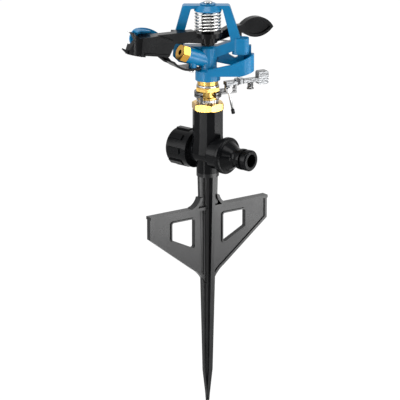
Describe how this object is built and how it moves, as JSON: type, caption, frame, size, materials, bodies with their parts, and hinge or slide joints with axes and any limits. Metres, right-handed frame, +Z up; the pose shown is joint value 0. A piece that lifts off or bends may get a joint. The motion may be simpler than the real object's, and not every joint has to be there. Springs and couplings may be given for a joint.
{
  "type": "impulse sprinkler",
  "caption": "Impulse lawn sprinkler with a sprung drive arm, part-circle trip and deflector flap on a swivel riser, on a moulded push-in ground stake with a hose inlet.",
  "frame": {"origin": "on the swivel axis at the soil line, which is the top face of the stake's step rail", "axes": "+Z up along the swivel axis; +X out of the hose nipple, along the inlet tube"},
  "size_m": [0.0818, 0.1308, 0.3493],
  "materials": {
    "black_plastic": "moulded black, satin",
    "arm_plastic": "moulded black, glass filled, satin",
    "blue_paint": "gloss light blue enamel on die-cast zinc",
    "brass": "turned brass, lightly tarnished",
    "steel": "bright stainless steel",
    "spring_steel": "bright drawn wire",
    "grey_steel": "dark stamped steel strip",
    "plated": "bright plated casting",
    "rubber": "matte black rubber",
    "nylon": "natural nylon"
  },
  "bodies": {
    "base": {"stake": "black_plastic", "manifold": "black_plastic", "hose_nipple": "black_plastic", "nipple_washer": "rubber", "riser_washer": "rubber", "riser_adapter": "brass", "bearing_nut": "brass", "detent_ring": "steel", "thrust_washer": "steel"},
    "cap": {"end_cap": "black_plastic", "cap_washer": "rubber"},
    "lower_collar": {"lower_stop_collar": "grey_steel"},
    "upper_collar": {"upper_stop_collar": "grey_steel"},
    "head": {"bearing_sleeve": "brass", "sleeve_rubber_washer": "rubber", "sleeve_slip_washer": "nylon", "thrust_ring": "brass", "bearing_spring": "spring_steel", "head_body": "blue_paint", "nozzle": "brass", "fulcrum_pin": "steel", "pin_washer": "blue_paint", "flap_strap": "black_plastic", "strap_screw": "steel", "flap_rivet": "steel"},
    "arm": {"drive_arm": "arm_plastic", "arm_bush": "nylon", "drive_spring": "spring_steel"},
    "trip": {"trip_shaft": "steel", "trip_lever": "plated", "wire_pin": "steel", "trip_stud": "steel", "trip_spring": "grey_steel", "stud_clip": "grey_steel"},
    "wire": {"trip_wire": "steel", "wire_tip": "black_plastic"},
    "flap": {"deflector_flap": "blue_paint"}
  },
  "joints": [
    {"name": "cap_turn", "type": "hinge", "parent": "base", "child": "cap", "pos_m": [0, 0, 0.047], "axis": [1, 0, 0], "continuous": true},
    {"name": "lower_collar_set", "type": "hinge", "parent": "base", "child": "lower_collar", "pos_m": [0, 0, 0.0957], "axis": [0, 0, 1], "range_deg": [0, 65]},
    {"name": "upper_collar_set", "type": "hinge", "parent": "base", "child": "upper_collar", "pos_m": [0, 0, 0.0984], "axis": [0, 0, 1], "range_deg": [0, 65]},
    {"name": "head_spin", "type": "hinge", "parent": "base", "child": "head", "pos_m": [0, 0, 0.105], "axis": [0, 0, 1], "range_deg": [-235, 0]},
    {"name": "arm_swing", "type": "hinge", "parent": "head", "child": "arm", "pos_m": [0, 0, 0.147], "axis": [0, 0, 1], "range_deg": [0, 90], "stiffness_Nm_per_rad": 0.02},
    {"name": "trip_swing", "type": "hinge", "parent": "head", "child": "trip", "pos_m": [0.01927, 0.01748, 0.107], "axis": [0, 0, 1], "range_deg": [-34, 0]},
    {"name": "wire_swing", "type": "hinge", "parent": "trip", "child": "wire", "pos_m": [0.01523, 0.00747, 0.1019], "axis": [0.9272, -0.3746, 0], "range_deg": [0, 60]},
    {"name": "flap_tilt", "type": "hinge", "parent": "head", "child": "flap", "pos_m": [-0.01792, -0.04668, 0.1465], "axis": [-0.9336, 0.3584, 0], "range_deg": [0, 30]}
  ]
}
